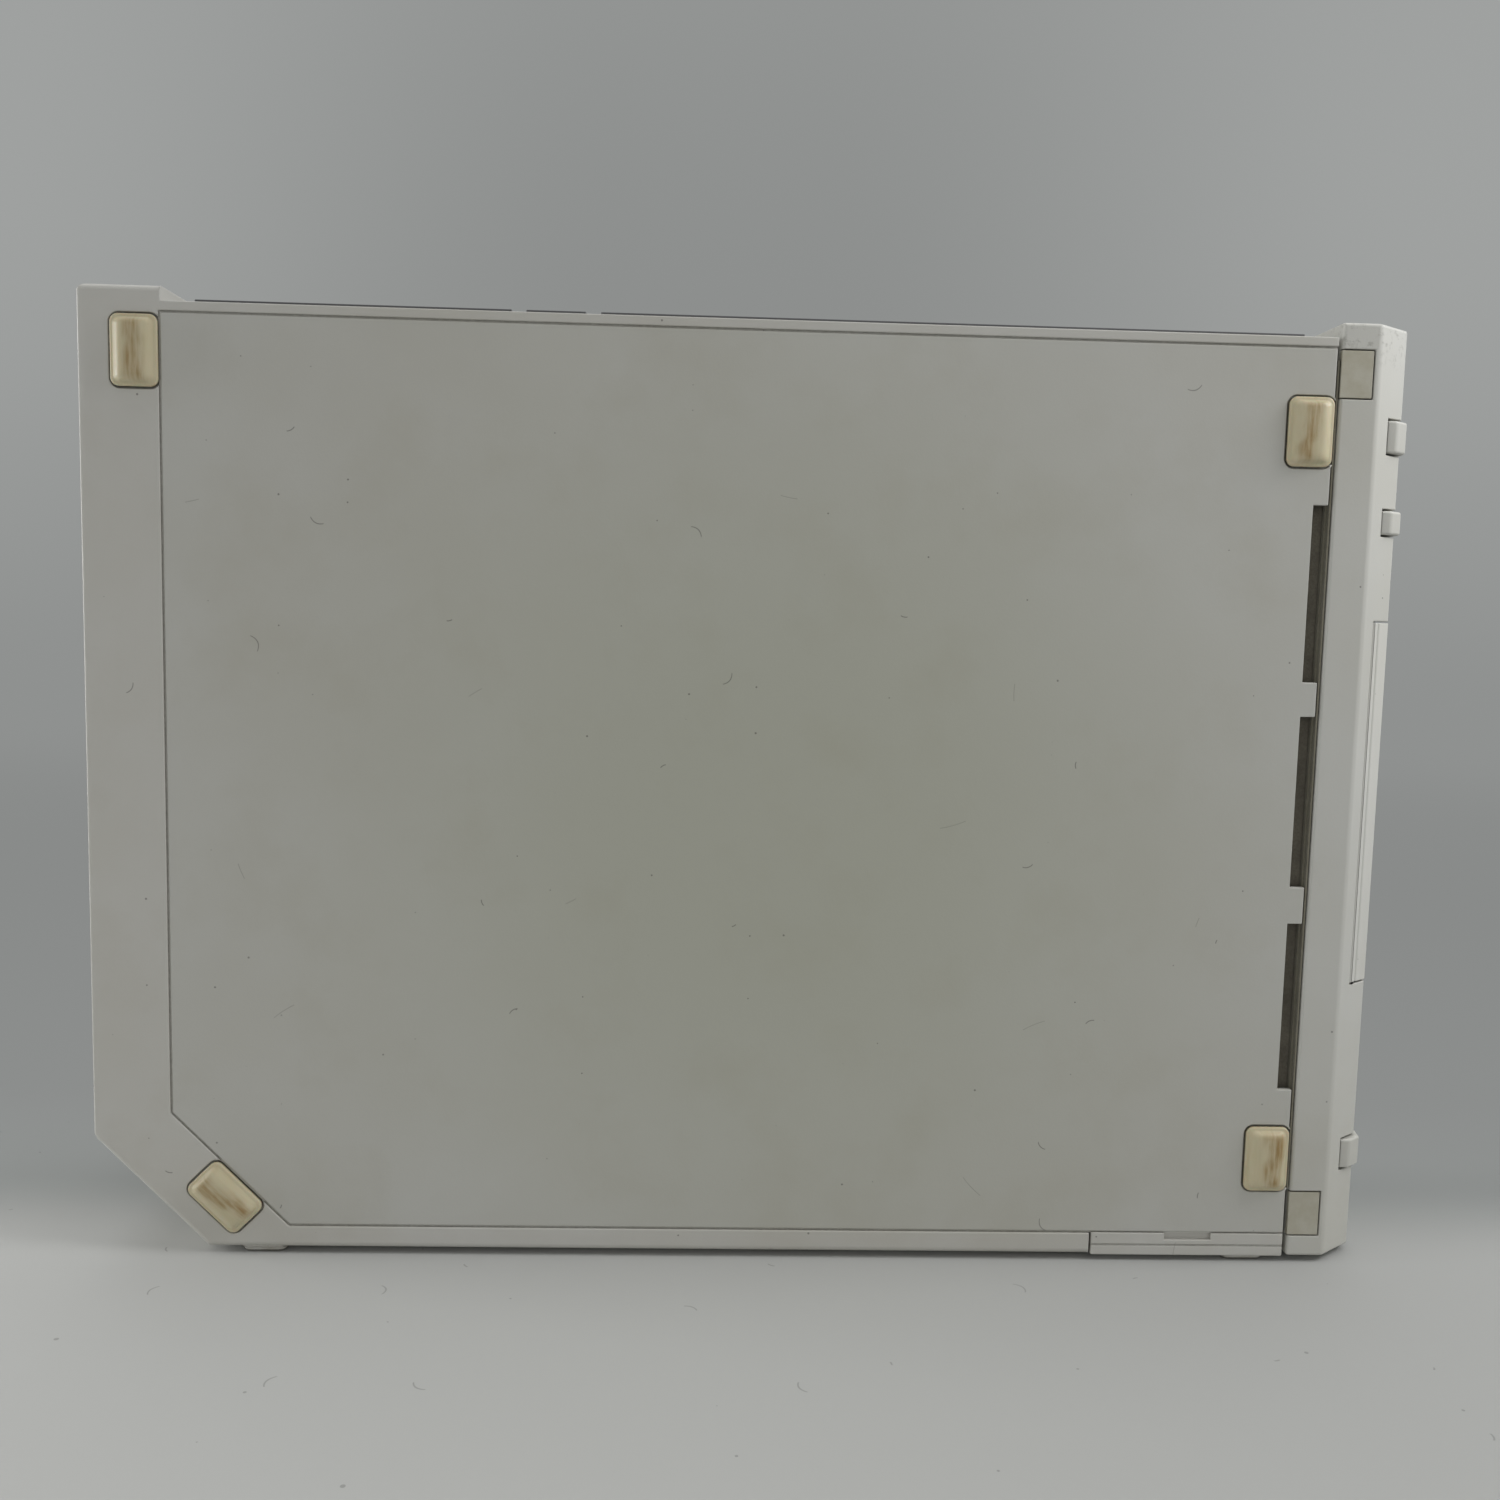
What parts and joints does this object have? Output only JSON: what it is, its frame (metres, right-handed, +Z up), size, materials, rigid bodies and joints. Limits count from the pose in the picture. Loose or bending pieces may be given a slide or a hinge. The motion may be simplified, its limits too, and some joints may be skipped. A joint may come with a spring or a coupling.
{
  "type": "disc game console",
  "caption": "Slim slot-loading disc console standing on its narrow edge, with base pads, port lids, card door, push buttons, battery tray, fan and disc drive.",
  "frame": {"origin": "middle of the footprint, on the surface that the edge feet stand on", "axes": "+X from the rear panel towards the front bezel, +Y from the side with the large base pads towards the plain side cover, +Z up"},
  "size_m": [0.2162, 0.0456, 0.158],
  "materials": {
    "shell": "satin gloss, lightly scuffed",
    "panel": "fine matte grain",
    "dark": "matte",
    "pad": "yellowed, matte",
    "cover": "matte",
    "steel": "rolled sheet",
    "aluminium": "as extruded",
    "board": "solder mask",
    "black": "moulded",
    "rubber": "matte",
    "lamp": "translucent"
  },
  "bodies": {
    "console": {"case_frame": "shell", "base_panel": "panel", "side_cover": "shell", "front_bezel": "shell", "slot_light_guide": "lamp", "status_light": "lamp", "screw_cover_top": "cover", "screw_cover_bottom": "cover", "bezel_screw_top": "steel", "bezel_screw_bottom": "steel", "base_pad_rear_top": "pad", "base_pad_rear_corner": "pad", "base_pad_front_top": "pad", "base_pad_front_bottom": "pad", "edge_foot_rear_near": "pad", "edge_foot_rear_far": "pad", "edge_foot_front_far": "pad", "port_bay_liner": "dark", "controller_socket_1": "dark", "controller_socket_2": "dark", "controller_socket_3": "dark", "controller_socket_4": "dark", "memory_slot_1": "dark", "memory_slot_2": "dark", "main_board": "board", "board_shield": "steel", "processor_package": "black", "heat_sink": "aluminium", "fan_housing": "black", "exhaust_grille": "dark", "data_socket_lower": "dark", "data_socket_upper": "dark", "video_socket": "dark", "sensor_socket": "dark", "power_socket": "dark", "card_reader": "steel", "switch_board": "board", "wireless_module": "board", "drive_tray": "steel", "drive_cover": "steel", "spindle_motor": "steel", "guide_rail_lower": "steel", "guide_rail_upper": "steel", "loading_motor": "steel", "drive_belt": "rubber"},
    "power_button": {"power_button": "shell"},
    "reset_button": {"reset_button": "shell"},
    "eject_button": {"eject_button": "shell"},
    "card_door": {"card_door": "shell"},
    "memory_card_door": {"memory_card_door": "shell"},
    "controller_port_door": {"controller_port_door": "shell"},
    "battery_tray": {"battery_tray": "shell", "coin_cell": "steel", "edge_foot_front_near": "pad"},
    "fan_rotor": {"fan_rotor": "black"},
    "spindle": {"spindle_hub": "black"},
    "optical_sled": {"optical_sled": "black"},
    "lead_screw": {"lead_screw": "steel"},
    "feed_roller": {"feed_roller": "rubber"},
    "motor_rotor": {"motor_rotor": "steel"}
  },
  "joints": [
    {"name": "power_press", "type": "slide", "parent": "console", "child": "power_button", "axis": [-1, 0, 0], "range_m": [0, 0.0008], "stiffness_N_per_m": 500, "springref_m": -0.0012},
    {"name": "reset_press", "type": "slide", "parent": "console", "child": "reset_button", "axis": [-1, 0, 0], "range_m": [0, 0.0008], "stiffness_N_per_m": 500, "springref_m": -0.0012},
    {"name": "eject_press", "type": "slide", "parent": "console", "child": "eject_button", "axis": [-1, 0, 0], "range_m": [0, 0.0008], "stiffness_N_per_m": 500, "springref_m": -0.0012},
    {"name": "card_door_swing", "type": "hinge", "parent": "console", "child": "card_door", "pos_m": [0.10265, -0.018, 0.0786], "axis": [0, 0, -1], "range_deg": [0, 100]},
    {"name": "memory_door_swing", "type": "hinge", "parent": "console", "child": "memory_card_door", "pos_m": [-0.0654, 0.0078, 0.1552], "axis": [-1, 0, 0], "range_deg": [0, 100]},
    {"name": "controller_door_swing", "type": "hinge", "parent": "console", "child": "controller_port_door", "pos_m": [0.0308, 0.0078, 0.1552], "axis": [-1, 0, 0], "range_deg": [0, 100]},
    {"name": "battery_slide", "type": "slide", "parent": "console", "child": "battery_tray", "axis": [0, 0, -1], "range_m": [0, 0.03]},
    {"name": "fan_spin", "type": "hinge", "parent": "console", "child": "fan_rotor", "pos_m": [-0.08345, -0.008, 0.118], "axis": [0, 1, 0], "continuous": true},
    {"name": "spindle_spin", "type": "hinge", "parent": "console", "child": "spindle", "pos_m": [0.01955, 0.004, 0.078], "axis": [0, 1, 0], "continuous": true},
    {"name": "sled_travel", "type": "slide", "parent": "console", "child": "optical_sled", "axis": [-1, 0, 0], "range_m": [0, 0.028]},
    {"name": "lead_screw_spin", "type": "hinge", "parent": "console", "child": "lead_screw", "pos_m": [-0.014, 0.0029, 0.041], "axis": [1, 0, 0], "range_deg": [-10, 1700]},
    {"name": "roller_spin", "type": "hinge", "parent": "console", "child": "feed_roller", "pos_m": [0.08255, 0.0029, 0.077], "axis": [0, 0, 1], "continuous": true},
    {"name": "motor_spin", "type": "hinge", "parent": "console", "child": "motor_rotor", "pos_m": [0.06655, 0.0029, 0.132], "axis": [0, 0, 1], "continuous": true}
  ],
  "couplings": [
    {"joint": "lead_screw_spin", "follows": "sled_travel", "rad_per_m": 1047.2},
    {"joint": "motor_spin", "follows": "roller_spin", "ratio": 1.75}
  ]
}
